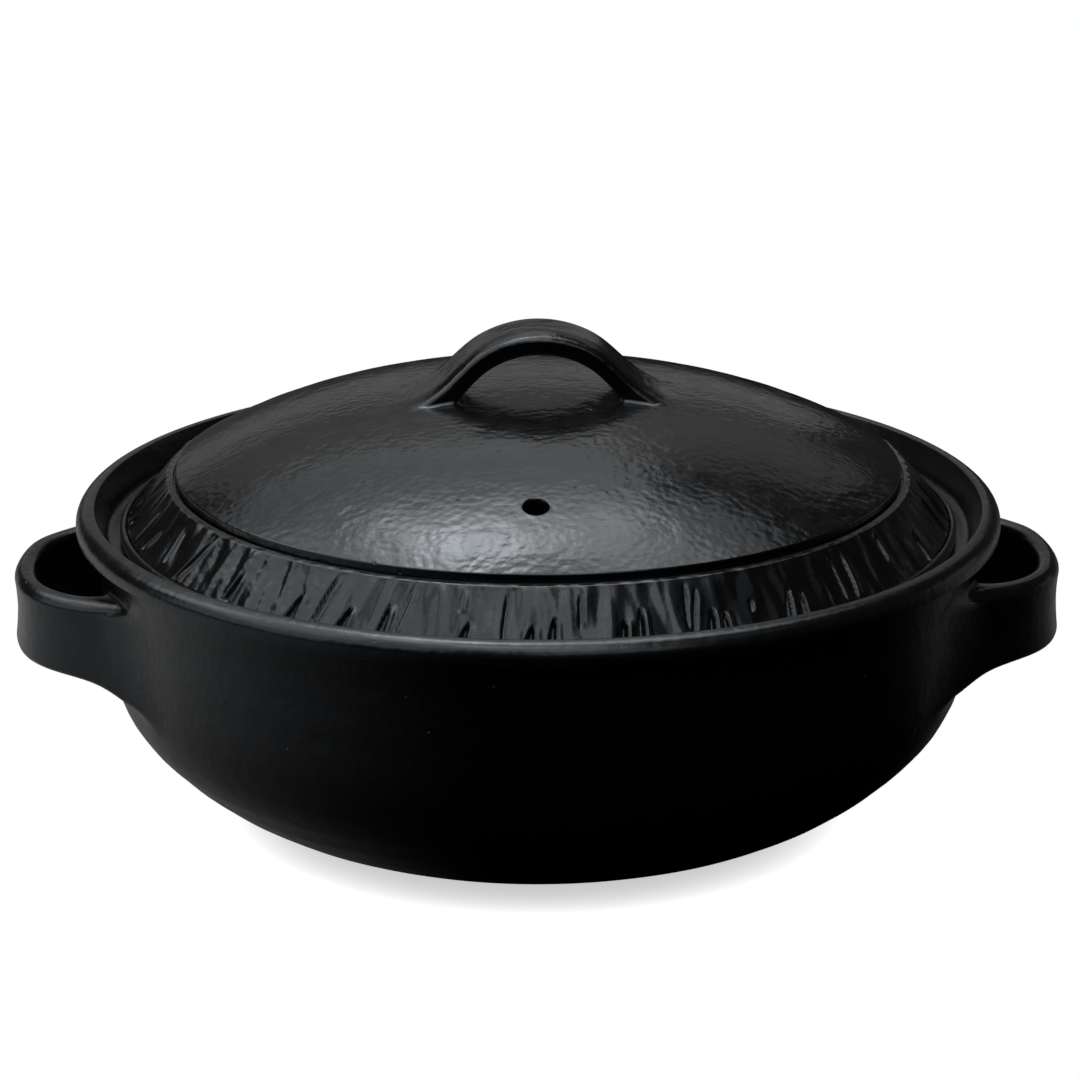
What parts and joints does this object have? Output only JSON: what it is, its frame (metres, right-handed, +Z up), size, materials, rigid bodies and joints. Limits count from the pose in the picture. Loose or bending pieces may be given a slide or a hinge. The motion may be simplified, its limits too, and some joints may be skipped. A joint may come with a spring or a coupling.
{
  "type": "donabe clay pot",
  "caption": "Round clay donabe with a sunken domed lid, strap ears at the sides and an arched strap handle over the lid.",
  "frame": {"origin": "middle of the base, on the surface that the pot stands on", "axes": "+Z up, +X towards the right ear, the steam hole on the -Y side"},
  "size_m": [0.3404, 0.3, 0.163],
  "materials": {
    "pot_glaze": "satin black glaze on clay",
    "lid_glaze": "satin black glaze on clay with fine orange peel"
  },
  "bodies": {
    "pot": {"bowl": "pot_glaze", "left_ear": "pot_glaze", "right_ear": "pot_glaze"},
    "lid": {"lid": "lid_glaze", "lid_handle": "lid_glaze"}
  },
  "joints": [
    {"name": "lid_lift", "type": "slide", "parent": "pot", "child": "lid", "axis": [0, 0, 1], "range_m": [0, 0.12]}
  ]
}
